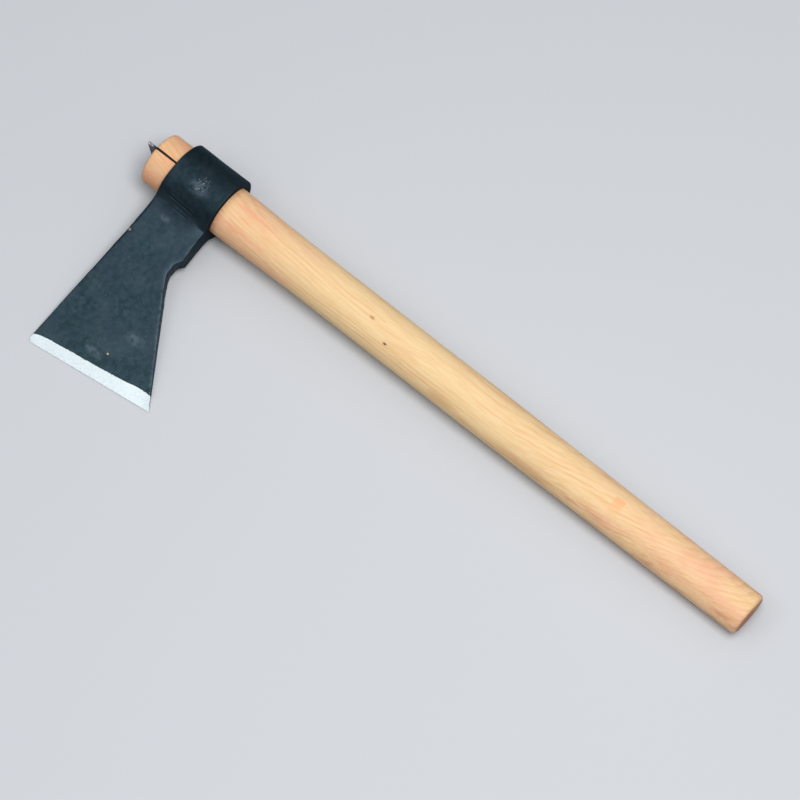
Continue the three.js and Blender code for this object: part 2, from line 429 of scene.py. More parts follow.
# %% [markdown]
# Fresh hardwood isn't one colour. It is cream in the middle of this haft and blushes pink near
# the head and the butt, in soft clouds far larger than the grain. One flat colour with a grain on
# top would look printed. So broad clouds mix cream and pink first, and the late wood, the fibres
# and the pores are laid over them.

# %% The wood's own colours
CREAM, PINK = (229, 200, 153), (228, 182, 146)


def wood_tones(wood, late, fibres, with_grain):
    blush = wood.cloud(wood.squeezed(0.028, 0.085, 0.085), detail=3.0, roughness=0.55)
    near_ends = wood.plus(wood.step(wood.x, 140.0, 62.0), wood.step(wood.x, 280.0, 400.0))
    pink = wood.times(wood.step(blush, 0.5, 0.75), wood.plus(0.2, near_ends))
    pink = wood.plus(pink, wood.times(near_ends, 0.8))
    pink = wood.times(pink, wood.step(blush, 0.2, 0.62))
    tone = wood.blend(pink, colour(*CREAM), colour(*PINK))
    tone = wood.tinted(tone, wood.step(blush, 0.44, 0.3), 0.35, (222, 182, 134))
    tone = wood.tinted(tone, wood.step(wood.x, 40.0, 16.0), 0.5, (218, 166, 128))
    warm = wood.cloud(wood.squeezed(0.05, 0.16, 0.16), detail=3.0)
    warm = wood.times(wood.step(warm, 0.48, 0.66), wood.step(wood.x, 120.0, 60.0))
    tone = wood.tinted(tone, warm, 0.45, (230, 158, 118))
    tone = wood.tinted(tone, late, 0.55, (212, 158, 110))
    between_fibres, on_fibres = colour(240, 222, 201), colour(255, 255, 255)
    fibre_tone = wood.blend(wood.step(fibres, 0.34, 0.66), between_fibres, on_fibres)
    tone = wood.blend(0.5, tone, fibre_tone, "MULTIPLY")
    pores = wood.cloud(wood.squeezed(0.12, 3.4, 3.4, with_grain), detail=2.0)
    return wood.tinted(tone, wood.step(pores, 0.6, 0.72), 0.13, (160, 108, 74))


# %% [markdown]
# Then come the marks that make this haft the one it is: brown streaks along its flanks, a pin
# knot, a speck of bark, and the faint plain patch that an old sticker left. Decals would do, but
# soft spots placed by their centre and radii are easier to move.

# %% The wood's marks
BROWN_STREAKS = [((226.0, -12.0, 8.0), (15.0, 3.5, 8.0)), ((288.0, -12.5, 7.0), (34.0, 3.5, 8.0))]
PIN_KNOT = ((165.3, 0.2, 14.8), (2.6, 1.4, 2.0))
BARK_SPECK = ((180.5, -7.2, 12.9), (2.0, 1.1, 1.6))
PATCH_START, PATCH_END = 341.0, 348.6


def wood_marks(wood, tone, fibres, with_grain):
    brown = wood.cloud(wood.squeezed(0.02, 0.2, 0.2, with_grain), detail=4.0, roughness=0.6)
    off_top = wood.step(wood.reckon("ABSOLUTE", wood.plus(wood.y, -1.0)), 6.5, 13.5)
    brown = wood.times(wood.step(brown, 0.5, 0.68), off_top)
    brown = wood.times(brown, wood.plus(0.25, wood.step(wood.x, 180.0, 330.0)))
    for centre, radii in BROWN_STREAKS:
        streak = wood.times(wood.near(centre, radii), wood.step(fibres, 0.3, 0.55))
        brown = wood.reckon("MAXIMUM", brown, streak)
    tone = wood.tinted(tone, brown, 0.5, (190, 134, 92))
    tone = wood.tinted(tone, wood.near(*PIN_KNOT), 0.7, (176, 100, 70))
    tone = wood.tinted(tone, wood.near(*BARK_SPECK), 0.9, (88, 62, 44))

    patch = wood.step(wood.x, PATCH_START, PATCH_START + 1)
    patch = wood.times(patch, wood.step(wood.x, PATCH_END, PATCH_END - 1))
    for value, outside, inside in ((wood.y, -5.4, -4.2), (wood.y, 6.2, 5.4), (wood.z, 4.0, 6.0)):
        patch = wood.times(patch, wood.step(value, outside, inside))
    gum = wood.times(patch, wood.plus(0.4, wood.step(wood.y, -4.0, 6.5)))
    return wood.tinted(tone, gum, 0.42, (232, 158, 100))


# %% [markdown]
# End grain drinks sweat and dirt, so both end faces are darker, and a thin line of grime and rust
# creeps out of the eye where the iron ends. One mask comes from the direction that a face looks
# in, and the other from the distance to the collar.

# %% Handled ends and grime at the eye
def wood_grime(wood, tone, fibres, wander):
    end_grain = wood.step(wood.reckon("ABSOLUTE", wood.facing_along), 0.84, 0.98)
    handled = wood.times(end_grain, wood.step(wander, 0.0, 0.5))
    tone = wood.tinted(tone, handled, 0.85, (158, 98, 70))
    crept_out = wood.step(wood.x, COLLAR_BACK + 5.5, COLLAR_BACK)
    grime = wood.times(crept_out, wood.step(fibres, 0.3, 0.6))
    rust_line = wood.step(wood.x, COLLAR_BACK + 1.1, COLLAR_BACK + 0.2)
    grime = wood.reckon("MAXIMUM", wood.times(grime, 0.55), wood.times(rust_line, 0.75))
    grime = wood.times(grime, wood.step(wood.x, COLLAR_BACK - 1.0, COLLAR_BACK))
    return wood.blend(grime, tone, colour(150, 88, 56))


# %% [markdown]
# The recipe puts these layers together in the order in which they came to the wood. Sanded wood
# is dull but not evenly so: its roughness follows the fibres, and fibres and late wood stand up
# by a few hundredths of a millimetre.

# %% Raw wood finish
RAISED_GRAIN = 0.03


def raw_wood():
    wood = Recipe("raw_wood")
    late, with_grain, wander = year_rings(wood)
    fibres = wood.cloud(wood.squeezed(0.055, 1.1, 1.1, with_grain), detail=4.0, roughness=0.66)
    tone = wood_tones(wood, late, fibres, with_grain)
    tone = wood_marks(wood, tone, fibres, with_grain)
    wood.feed(wood.shader.inputs["Base Color"], wood_grime(wood, tone, fibres, wander))
    wood.feed(wood.shader.inputs["Roughness"], wood.plus(0.5, wood.times(fibres, 0.2)))
    wood.shader.inputs["Specular IOR Level"].default_value = 0.2
    raised = wood.plus(wood.times(fibres, 0.6), wood.times(late, 0.4))
    wood.feed(wood.shader.inputs["Normal"], wood.relief(raised, RAISED_GRAIN))
    return wood.material


raw_wood_finish = raw_wood()
print("finish", raw_wood_finish.name)

# %% [markdown]
# ## The haft
#
# On the real axe the haft is a round stick, shaved and sanded by hand: nearly a cylinder, a
# couple of millimetres thicker where it fills the eye, a little thinner towards the butt, and
# rounded over at both ends. A cylinder with modifiers could do, but its ends and its swelling
# would fight each other. We lay rings of points along the stick instead, so its radius at every
# place is one formula, and hand sanding shows as a tenth of a millimetre of unevenness. The butt
# was sawn by eye, a little askew, so the last rings lean.

# %% Lay the haft's rings
TOP_ROUNDING, BUTT_ROUNDING = (2.4, 2.4), (2.6, 3.8)
FLAT_RINGS, RIM_RINGS, RING_SPACING, HAFT_SIDES = 8, 11, 2.5, 144
ASKEW_UPWARD, ASKEW_TO_POLL, ASKEW_MIDDLE, ASKEW_REACH = 0.06, 0.03, 0.9, 14


def rounded_end(end, rounding, inward):
    """(place, radius) pairs from the middle of an end's face over its rim to the side."""
    side = haft_radius(end)
    deep, wide = rounding
    flat = [(end, (side - wide) * k / FLAT_RINGS) for k in range(FLAT_RINGS + 1)]
    rim = []
    for k in range(1, RIM_RINGS + 1):
        turn = math.pi / 2 * k / RIM_RINGS
        rim.append((end + inward * deep * (1 - math.cos(turn)), side - wide * (1 - math.sin(turn))))
    return flat + rim


def sanding(x, turn):
    """How far a hand-sanded surface stands off the true round, in millimetres."""
    slow = noise.noise(Vector((x / 70, 1.3 * math.cos(turn), 1.3 * math.sin(turn))))
    quick = noise.noise(Vector((x / 16 + 9, 3 * math.cos(turn), 3 * math.sin(turn))))
    return 0.16 * slow + 0.05 * quick


def sawn_askew(x, y, z):
    """How far out the butt leans at this point, most at its upper and poll side."""
    lean = ASKEW_UPWARD * z + ASKEW_TO_POLL * y + ASKEW_MIDDLE
    return lean * smooth(haft_length - ASKEW_REACH, haft_length, x)


def haft_surface():
    top = rounded_end(0.0, TOP_ROUNDING, 1)
    butt = rounded_end(haft_length, BUTT_ROUNDING, -1)
    side = [(x, haft_radius(x)) for x in np.arange(5.0, haft_length - 4.0, RING_SPACING)]
    stations = top + side + butt[::-1]
    points, rows = [], []
    for x, radius in stations:
        row = []
        for k in range(HAFT_SIDES):
            turn = 2 * math.pi * k / HAFT_SIDES
            r = radius + sanding(x, turn) * radius / GRIP_RADIUS
            y, z = r * math.cos(turn), r * math.sin(turn)
            row.append(len(points))
            points.append((x + sawn_askew(x, y, z), y, z))
        rows.append(row)
    return points, sew(rows, closed=True)


haft = make_piece("wooden_haft", *haft_surface(), [raw_wood_finish])

# %% [markdown]
# The kerf is the saw cut that takes the wedge. On the real haft it closes tightly on the wedge,
# so its width shows only as a dark line along the top. A groove could be drawn into the rings,
# but a boolean cut leaves the crisp edges of a saw. The cutter is a thin V-shaped slab of air,
# turned a few degrees about the haft just as the measured wedge is.

# %% Saw the kerf
KERF_DEPTH, KERF_AT_TOP, KERF_AT_BOTTOM = 40.0, 1.72, 0.9
SLAB_HALF = 30.0


def cut_away(piece, cutter):
    """Takes the cutter's shape out of the piece, once and for all."""
    cut = piece.modifiers.new("cut", "BOOLEAN")
    cut.operation = "DIFFERENCE"
    cut.solver = "EXACT"
    cut.object = cutter
    shapes = bpy.context.evaluated_depsgraph_get()
    finished = bpy.data.meshes.new_from_object(piece.evaluated_get(shapes))
    piece.modifiers.clear()
    piece.data = finished
    bpy.data.objects.remove(cutter)
    print(piece.name, "after the cut has", len(finished.vertices), "points")


def turned(x, y, z, turn=KERF_TURN):
    """A point turned about the haft's own axis."""
    c, s = math.cos(turn), math.sin(turn)
    return (x, y * c - z * s, y * s + z * c)


def box_from(sections):
    """Eight corners and six faces from two rectangles (x, half height, half breadth)."""
    points = []
    for x, half_y, half_z in sections:
        for sy, sz in ((-1, -1), (1, -1), (1, 1), (-1, 1)):
            points.append(turned(x, sy * half_y, sz * half_z))
    quads = [(0, 1, 2, 3), (4, 5, 6, 7)] + sew([[0, 1, 2, 3], [4, 5, 6, 7]], closed=True)
    return points, quads


slot_in_wood = [(-1.0, KERF_AT_TOP / 2, SLAB_HALF), (KERF_DEPTH, KERF_AT_BOTTOM / 2, SLAB_HALF)]
cut_away(haft, make_piece("kerf_cutter", *box_from(slot_in_wood), []))

# %% [markdown]
# ## Forged steel
#
# The head is covered with the blue-black skin that iron gets in the forge. Scale is a poor
# mirror: its mottled roughness matters more than its colour. A plain dark grey would look like
# plastic, so the skin mixes three clouds of different sizes, and fine scratches cross it both
# ways. The collar is darker than the cheeks. The faces of the neck and the collar that look
# towards the butt get painted shade, because they face away from the light.

# %% The skin of forge scale
def scale_skin(iron, blotch, haze):
    skin = iron.blend(iron.step(blotch, 0.3, 0.7), colour(36, 52, 58), colour(49, 67, 74))
    hue = iron.cloud(iron.squeezed(0.05, 0.04, 0.05), detail=2.0)
    skin = iron.tinted(skin, iron.step(hue, 0.42, 0.62), 0.45, (50, 63, 76))
    skin = iron.tinted(skin, iron.step(haze, 0.45, 0.75), 0.4, (68, 82, 90))
    one_way = iron.step(iron.cloud(iron.squeezed(0.22, 1.5, 1.0), detail=2.0), 0.66, 0.7)
    other_way = iron.step(iron.cloud(iron.squeezed(1.6, 0.2, 1.0), detail=2.0), 0.67, 0.71)
    skin = iron.tinted(skin, iron.reckon("MAXIMUM", one_way, other_way), 0.14, (110, 126, 134))
    skin = iron.tinted(skin, iron.step(iron.y, -23.0, -15.0), 0.42, (20, 31, 38))
    # Painted shade: faces of the neck and collar that look towards the butt are darkened, as they
    # face away from the light.
    back_of_neck = iron.step(iron.y, -72.0, -50.0)
    painted_shade_on_back_faces = iron.times(iron.step(iron.facing_along, 0.35, 0.75), back_of_neck)
    return iron.tinted(skin, painted_shade_on_back_faces, 0.6, (15, 24, 30))


# %% [markdown]
# Use leaves brighter marks: smudges where the scale is thin, a cluster of short knocks on the
# collar, two specks of rust, and a rim that is rubbed along the back. The marks are soft spots as
# on the wood, and a cloud breaks up the larger ones, so their outlines don't look drawn.

# %% Smudges, scuffs and rust
SMUDGES = [
    ((37.5, -3.0, 20.0), (9.0, 7.0, 9.0)),
    ((29.5, -27.3, 8.0), (4.5, 3.0, 5.0)),
    ((62.0, -94.0, 3.0), (9.0, 4.5, 4.0)),
    ((47.0, -114.0, 2.0), (9.0, 3.5, 4.0)),
]
KNOCKED_PLACE = ((37.5, -0.4, 20.5), (5.5, 7.0, 4.0))
RUST_SPECKS = [((54.7, -110.0, 2.2), (1.0, 0.8, 3.0)), ((16.7, -45.0, 4.6), (1.3, 1.3, 3.0))]


def spots(iron, places):
    """One mask for several soft spots."""
    mask = 0.0
    for centre, radii in places:
        mask = iron.reckon("MAXIMUM", mask, iron.near(centre, radii))
    return mask


def worn_skin(iron, skin, blotch):
    smudged = iron.times(spots(iron, SMUDGES), iron.step(blotch, 0.3, 0.62))
    skin = iron.tinted(skin, smudged, 0.55, (92, 106, 116))
    knocks = iron.cloud(iron.squeezed(1.25, 0.38, 0.5), detail=3.0, roughness=0.7)
    bare = iron.times(iron.near(*KNOCKED_PLACE), iron.step(knocks, 0.55, 0.68))
    skin = iron.tinted(skin, bare, 0.85, (176, 188, 193))
    skin = iron.tinted(skin, spots(iron, RUST_SPECKS), 0.85, (205, 182, 164))
    from_back = iron.add("ShaderNodeAttribute", {"attribute_name": "from_back"}).outputs["Fac"]
    rubbed = iron.times(iron.step(from_back, 2.6, 0.6), iron.step(iron.y, -18.0, -50.0))
    rubbed = iron.times(rubbed, iron.step(blotch, 0.3, 0.6))
    return iron.tinted(skin, rubbed, 0.3, (96, 108, 118))


# %% [markdown]
# Only the bevel has been ground bright. Two materials could share the head, but their border
# would follow the mesh and look like a staircase. So the head is one finish, and each point of
# the mesh carries a number that says how far it lies inside the ground bevel. The finish turns
# that number into a mask with a slightly ragged border, as a grinder leaves it. Scale is dull and
# pitted, and the stoned steel is smoother and fully metallic.

# %% Forged steel finish
SCALE_RELIEF = 0.16


def forged_steel():
    iron = Recipe("forged_steel")
    blotch = iron.cloud(iron.squeezed(0.3, 0.3, 0.3), detail=4.0, roughness=0.55)
    haze = iron.cloud(iron.squeezed(0.06, 0.06, 0.06), detail=3.0)
    grit = iron.cloud(iron.squeezed(1.1, 1.1, 1.1), detail=3.0, roughness=0.6)
    skin = worn_skin(iron, scale_skin(iron, blotch, haze), blotch)

    inside = iron.add("ShaderNodeAttribute", {"attribute_name": "inside_bevel"}).outputs["Fac"]
    border = iron.plus(inside, iron.times(iron.reckon("SUBTRACT", grit, 0.5), 0.9))
    ground = iron.step(border, -0.1, 0.2)
    skin = iron.tinted(skin, iron.step(border, -0.9, -0.2), 0.35, (26, 34, 38))
    wheel = iron.cloud(iron.squeezed(1.3, 0.8, 0.8), detail=4.0, roughness=0.7)
    bright = iron.blend(iron.step(wheel, 0.25, 0.6), colour(176, 184, 185), colour(199, 207, 208))
    iron.feed(iron.shader.inputs["Base Color"], iron.blend(ground, skin, bright))

    dull = iron.plus(iron.plus(0.36, iron.times(haze, 0.2)), iron.times(blotch, 0.12))
    stoned = iron.plus(0.32, iron.times(wheel, 0.12))
    rough = iron.add("ShaderNodeMix", {"data_type": "FLOAT"})
    for socket, value in ((0, ground), (2, dull), (3, stoned)):
        iron.feed(rough.inputs[socket], value)
    iron.feed(iron.shader.inputs["Roughness"], rough.outputs[0])
    iron.feed(iron.shader.inputs["Metallic"], iron.plus(0.85, iron.times(ground, 0.15)))
    iron.shader.inputs["Specular Tint"].default_value = (0.45, 0.5, 0.55, 1.0)
    pits = iron.plus(iron.times(blotch, 0.8), iron.times(grit, 0.2))
    pits = iron.times(pits, iron.reckon("SUBTRACT", 1.0, ground))
    iron.feed(iron.shader.inputs["Normal"], iron.relief(pits, SCALE_RELIEF))
    return iron.material


forged_steel_finish = forged_steel()
print("finish", forged_steel_finish.name)

# %% [markdown]
# ## The axe head
#
# The smith starts from a ring round the eye and draws the blade out of it, so collar, neck,
# cheeks and edge are one piece of iron that flows from round to thin. Joining a tube and a plate
# would leave a seam that a forging doesn't have. We slice the head instead, from the poll down to
# the edge, and give every slice its outline by formula: the round of the collar and the taper of
# the blade are blended where they meet. The slices start square to the haft and turn gently, so
# the last one lies exactly along the slanting edge.

# %% The head's outline, seen from the side
THROAT_X, THROAT_LOW, THROAT_HIGH, STEP_Y = 51.4, -51.0, -46.3, -41.2
FLARE_START = (59.4, -65.8)


def leaning_curve(start, lean, end, steps=12):
    """Points of the curve from start to end that leans towards a third point."""
    curve = []
    for t in [k / steps for k in range(steps + 1)]:
        pulls = ((1 - t) ** 2, 2 * t * (1 - t), t * t)
        curve.append(tuple(np.dot(pulls, (start, lean, end))))
    return curve


throat_low, throat_high = (THROAT_X, THROAT_LOW), (THROAT_X, THROAT_HIGH)
back_edge = [HEEL]
back_edge += leaning_curve(FLARE_START, (THROAT_X + 2, THROAT_LOW - 6.5), throat_low)
back_edge += leaning_curve(throat_high, (THROAT_X + 0.2, STEP_Y - 2.2), (53.2, STEP_Y - 1.1))
back_edge += [(COLLAR_BACK + 0.6, STEP_Y), (COLLAR_BACK + 0.5, -38), (COLLAR_BACK, -30)]
back_edge += [(COLLAR_BACK, COLLAR_RADIUS)]
back_edge_x, back_edge_y = zip(*back_edge)


def back_x(y):
    torn = smooth(-24, -29, y) * smooth(-74, -60, y)
    return float(np.interp(y, back_edge_y, back_edge_x)) + 0.35 * torn * bump_at(9, y, 2, 3.1)


def front_x(y):
    return COLLAR_FRONT + (TOE[0] - COLLAR_FRONT) * max(0.0, y / TOE[1])


print("blade width at the throat", round(back_x(-50) - front_x(-50), 1))

# %% [markdown]
# The thickness has three parts: the collar's round, the neck that widens from the cheeks up into
# the collar, and the ground bevel, which is simply a steeper taper near the edge. The neck flows
# softly into the collar at the front, where the smith fullered it, and meets it in a tighter
# valley towards the back. Its front rim is worn round, and its back rim was cut with a chisel
# and stayed sharp. A hand-ground bevel is never quite even, so its width changes along the edge:
# narrow at the toe, widest near the heel.

# %% The head's thickness
edge_way = Vector((HEEL[0] - TOE[0], HEEL[1] - TOE[1])).normalized()
RIM_ROUNDING, NECK_ROUNDING, CHISELLED = 0.45, 2.0, 0.35
FULLERED, FULLER_FROM, FULLER_TO = 4.2, -31.0, -16.0


def off_edge(x, y):
    """Distance from the cutting edge, in millimetres."""
    return (y - TOE[1]) * edge_way.x - (x - TOE[0]) * edge_way.y


def blade_half(y):
    """Half the thickness of cheek and neck at height y."""
    neck = max(0.0, (y - CHEEK_TOP_Y) / (NECK_TOP_Y - CHEEK_TOP_Y))
    return SHOULDER_HALF + CHEEK_SLOPE * (y - SHOULDER_Y) + NECK_SWELL * min(neck, 1.2) ** 2


def bevel_width(x):
    even = 7.35 + 0.024 * (x - 45)
    short_toe = 1.5 * math.exp(-(((x - 11) / 5) ** 2))
    long_heel = 0.7 * math.exp(-(((x - 82) / 8) ** 2))
    return even - short_toe + long_heel - 1.1 * smooth(87, 96, x) + 0.2 * bump_at(x, 0, 3, 7)


def rounded_rim(half, rounding, inset):
    """A half thickness, taken down near a rim as a quarter circle would."""
    gap = max(0.0, rounding - inset)
    return max(0.0, half - rounding + math.sqrt(rounding ** 2 - min(gap, rounding) ** 2))


def head_half(x, y, from_front, from_back):
    """Half thickness of the head at (x, y), at those distances from its front and back faces."""
    rim = rounded_rim(COLLAR_RADIUS, RIM_ROUNDING, min(from_front, from_back))
    collar = math.sqrt(max(0.0, rim ** 2 - y ** 2))
    if y > -2:
        return collar
    half = blade_half(y)
    flare = min(1.2, max(0.0, (y - FULLER_FROM) / (FULLER_TO - FULLER_FROM)))
    half += FULLERED * flare ** 2 * smooth(54, 44, x)
    near_edge = off_edge(x, y)
    shoulder = bevel_width(x)
    cheek_there = blade_half(y - (near_edge - shoulder))
    ground = EDGE_HALF + (cheek_there - EDGE_HALF) * near_edge / shoulder
    rounding = 0.5 + (NECK_ROUNDING - 0.5) * smooth(-105, -35, y)
    worn = rounded_rim(half, min(rounding, 0.7 * half), from_front)
    worn = min(worn, rounded_rim(half, CHISELLED, from_back))
    blade = min(worn, ground)
    blend = 1.6 + 4.0 * smooth(29, 19, x) + 3.0 * smooth(42, 50, x)
    overlap = max(0.0, blend - abs(collar - blade)) if collar > 0 else 0.0
    return max(collar, blade) + overlap * overlap / (4 * blend)


print("half thickness at neck, cheek, shoulder",
      [round(head_half(35, y, 9, 9), 2) for y in (-30, -80, -118)])

# %% [markdown]
# A slice runs from the head's front face to its back face. The slices crowd together where the
# shape changes quickly: where the collar meets the neck, and on the bevel. Round the collar they
# follow turns about the eye, because equal steps in height would leave long, flat facets on the
# poll. The worn corners of the cutting edge draw the last slices in.

# %% Where every slice runs
TURNING_FROM = -45.0
TOE_ROUNDING, HEEL_ROUNDING = 2.6, 0.6


def corner_inset(off, rounding):
    """How far a rounded corner draws a slice in, at a distance off the cutting edge."""
    gap = min(rounding, max(0.0, rounding - off))
    return rounding - math.sqrt(rounding ** 2 - gap ** 2)


def round_the_collar():
    """(front point, back point) of the slices from the poll round to the neck."""
    ends = []
    for turn in np.concatenate([np.arange(0, 130, 2), np.arange(130, 153, 0.4)]):
        y = COLLAR_RADIUS * math.cos(math.radians(turn))
        over = max(0.0, abs(y) - (COLLAR_RADIUS - RIM_ROUNDING)) if y > 0 else 0.0
        drawn_in = RIM_ROUNDING - math.sqrt(RIM_ROUNDING ** 2 - over ** 2)
        ends.append(((front_x(y) + drawn_in, y), (back_x(y) - drawn_in, y)))
    return ends


def across_the_neck(first):
    """(front point, back point) of the slices that still run square to the haft."""
    close, wide = np.arange(first - 0.15, -22.0, -0.2), np.arange(-22.0, TURNING_FROM, -0.6)
    return [((front_x(y), y), (back_x(y), y)) for y in np.concatenate([close, wide])]


def down_to_the_edge():
    """(front point, back point) of the slices that turn until they lie along the cutting edge."""
    ends = []
    for t in np.concatenate([np.linspace(0.0, 0.86, 96), np.linspace(0.862, 1.0, 40)]):
        front_y = TURNING_FROM + t * (TOE[1] - TURNING_FROM)
        back_y = TURNING_FROM + t * (HEEL[1] - TURNING_FROM)
        front, back = Vector((front_x(front_y), front_y)), Vector((back_x(back_y), back_y))
        across = (back - front).normalized()
        front += across * corner_inset(off_edge(*front), TOE_ROUNDING)
        back -= across * corner_inset(off_edge(*back), HEEL_ROUNDING)
        ends.append((tuple(front), tuple(back)))
    return ends


slices = round_the_collar()
slices += across_the_neck(slices[-1][0][1])
slices += down_to_the_edge()
print("slices", len(slices))

# %% [markdown]
# Each slice is one loop of points: over the upper side, down the back face, back along the lower
# side and up the front face. Its points crowd together near the two faces, where the rims are
# rounded. The first loop lies flat on the poll and closes it. The last one, as thin as the cutting
# edge, gets a strip of quads as its lid, with one larger face at each end.

# %% Slice the head
RIM_STEPS = [0, 0.05, 0.17, 0.37, 0.63, 0.95, 1.35, 1.85, 2.5, 3.3]
MIDDLE_STEPS, WALL_STEPS = 74, 9


def wall(start, end):
    """The points between the upper and the lower side, on the front or the back face."""
    shares = [k / (WALL_STEPS + 1) for k in range(1, WALL_STEPS + 1)]
    return [tuple(s + (e - s) * t for s, e in zip(start, end)) for t in shares]


def slice_loop(front, back):
    """The loop of points round one slice."""
    width = math.dist(front, back)
    inner = np.linspace(RIM_STEPS[-1], width - RIM_STEPS[-1], MIDDLE_STEPS)[1:-1]
    across = RIM_STEPS + list(inner) + [width - step for step in reversed(RIM_STEPS)]
    drawn_in = front[0] - front_x(front[1]) if front[1] > 0 else 0.0
    upper = []
    for step in across:
        x, y = (f + (b - f) * step / width for f, b in zip(front, back))
        upper.append((x, y, head_half(x, y, step + drawn_in, width - step + drawn_in)))
    lower = [(x, y, -z) for x, y, z in reversed(upper)]
    return upper + wall(upper[-1], lower[0]) + lower + wall(lower[-1], upper[0])


def edge_lid(last):
    """Faces that close the last loop, along the cutting edge."""
    count = len(last) // 2 - WALL_STEPS
    upper_side, back_wall = last[:count], last[count:count + WALL_STEPS]
    lower_side = last[count + WALL_STEPS:2 * count + WALL_STEPS][::-1]
    front_wall = last[2 * count + WALL_STEPS:]
    lid = sew([upper_side[1:-1], lower_side[1:-1]])
    lid.append((upper_side[1], upper_side[0], *front_wall[::-1], lower_side[0], lower_side[1]))
    lid.append((upper_side[-2], upper_side[-1], *back_wall, lower_side[-1], lower_side[-2]))
    return lid


def head_surface():
    points, rows = [], []
    for front, back in slices:
        loop = slice_loop(front, back)
        rows.append(list(range(len(points), len(points) + len(loop))))
        points += loop
    return points, sew(rows, closed=True) + edge_lid(rows[-1])


head = make_piece("axe_head", *head_surface(), [forged_steel_finish])

# %% [markdown]
# A hammer leaves shallow hollows all over a forging, and use adds a dent or two. Under the collar
# the hot metal was folded over and left two short lips. These could be a bump in the finish, but
# real hollows also bend the outline and the highlights, so we move the points themselves along
# their normals. The bevel stays untouched, because it was ground after forging. The collar's back
# face was never dressed square: it leans out a little at the top.

# %% Hammer marks, a fold, a dent and a nick
BROAD_MARKS, SMALL_MARKS = (0.15, 12.0), (0.06, 4.0)
CHEEK_DENT, DENT_RADII, DENT_DEPTH = (44.0, -62.5), (1.6, 1.4), 0.3
FRONT_NICK, NICK_RADII, NICK_DEPTH = (16.8, -45.0), (1.5, 1.3), 0.45
COLLAR_LEAN = 0.055


def hollow(x, y, middle, radii):
    """1 in the middle of a dent, and fading to 0 round it."""
    across, up = (x - middle[0]) / radii[0], (y - middle[1]) / radii[1]
    return math.exp(-across ** 2 - up ** 2)


def fold(off_lip, width, gap):
    """A lip of folded metal that stands 1 high, with a gap under it that is `gap` deep."""
    under = math.exp(-(((off_lip + 2 * width) / (width + 0.05)) ** 2))
    return math.exp(-((off_lip / width) ** 2)) - gap * under


def folds(x, y):
    """The two lips under the collar, in millimetres."""
    long_lip = fold(y + 15.4 + 0.05 * (x - 34), 0.45, 1.5) * smooth(22.5, 26, x) * smooth(46, 40, x)
    short_lip = fold(y + 19.4 + 0.03 * (x - 34), 0.4, 1.2) * smooth(28, 31, x) * smooth(43, 38, x)
    return 0.24 * long_lip + 0.1 * short_lip


def hammering(p):
    """How far the hammered surface stands off the drawn one, in millimetres."""
    x, y, z = p
    height = BROAD_MARKS[0] * bump_at(x, y, z, BROAD_MARKS[1])
    height += SMALL_MARKS[0] * bump_at(x, y, z + 40, SMALL_MARKS[1])
    height *= smooth(7.5, 14, off_edge(x, y))
    height *= 0.35 + 0.65 * smooth(-118, -70, y)
    if z > 4 and -24 < y < -10:
        height += folds(x, y)
    if z > 0:
        height -= DENT_DEPTH * hollow(x, y, CHEEK_DENT, DENT_RADII)
        height -= NICK_DEPTH * hollow(x, y, FRONT_NICK, NICK_RADII) * smooth(0, 3, z)
    return height


def leaning(p):
    """How far the collar's back face leans out at this point."""
    on_back_face = smooth(44, COLLAR_BACK, p.x) * smooth(-26, -16, p.y)
    return COLLAR_LEAN * max(0.0, p.z) * on_back_face


shape = head.data
moved = [v.co + v.normal * hammering(v.co) + Vector((leaning(v.co), 0, 0)) for v in shape.vertices]
for v, place in zip(shape.vertices, moved):
    v.co = place
shape.update()
print("deepest hammer mark", round(min(hammering(p) for p in moved), 2), "mm")

# %% [markdown]
# The eye runs right through the collar. The haft fills it, so only its two mouths show, as a
# thin dark line round the wood. The cutter follows the haft's own radius with a hair of
# clearance, and flares at both mouths as a drifted and filed eye does.

# %% Drift the eye
EYE_CLEARANCE, MOUTH_FLARE, MOUTH_DEPTH = 0.2, 0.75, 1.2


def eye_cutter():
    front_mouth = np.linspace(COLLAR_FRONT - 0.2, COLLAR_FRONT + 1.6, 8)
    back_mouth = np.linspace(COLLAR_BACK - 1.6, COLLAR_BACK + 0.2, 8)
    inside = np.linspace(20, 50, 14)
    points, rows = [], []
    for x in [COLLAR_FRONT - 4, *front_mouth, *inside, *back_mouth, COLLAR_BACK + 4]:
        deep = min(x - COLLAR_FRONT, COLLAR_BACK - x)
        flare = MOUTH_FLARE * min(1.0, max(0.0, 1 - deep / MOUTH_DEPTH)) ** 2
        radius = haft_radius(x) + EYE_CLEARANCE + flare
        ring = []
        for k in range(HAFT_SIDES):
            turn = 2 * math.pi * (k + 0.5) / HAFT_SIDES
            ring.append(len(points))
            points.append((x, radius * math.cos(turn), radius * math.sin(turn)))
        rows.append(ring)
    return points, sew(rows, closed=True) + [tuple(rows[0]), tuple(rows[-1])]


cut_away(head, make_piece("eye_cutter", *eye_cutter(), []))

# %% [markdown]
# Now every point learns two distances for the finish to use: how far it lies inside the ground
# bevel, which is negative on the rest of the head, and how far it lies from the sharp back rim.

# %% Mark the ground bevel and the back rim
def remember(piece, name, values):
    piece.data.attributes.new(name, "FLOAT", "POINT").data.foreach_set("value", values)


places = [v.co.copy() for v in head.data.vertices]
depths = [bevel_width(p.x) - off_edge(p.x, p.y) for p in places]
remember(head, "inside_bevel", depths)
remember(head, "from_back", [max(0.0, back_x(p.y) - p.x) for p in places])
print("points on the bevel", sum(1 for d in depths if d > 0))

# %% [markdown]
# ## The steel wedge
#
# The wedge is a sliver sheared from sheet, driven into the kerf and left standing a few
# millimetres proud. Sheared steel has slightly wavy, torn edges, and the hammer has spread its
# outer end a little. Its finish is one torn cloud of two greys, rubbed bright where the hammer
# met the upper corner.

# %% Wedge steel finish
SHEARED_RELIEF = 0.12


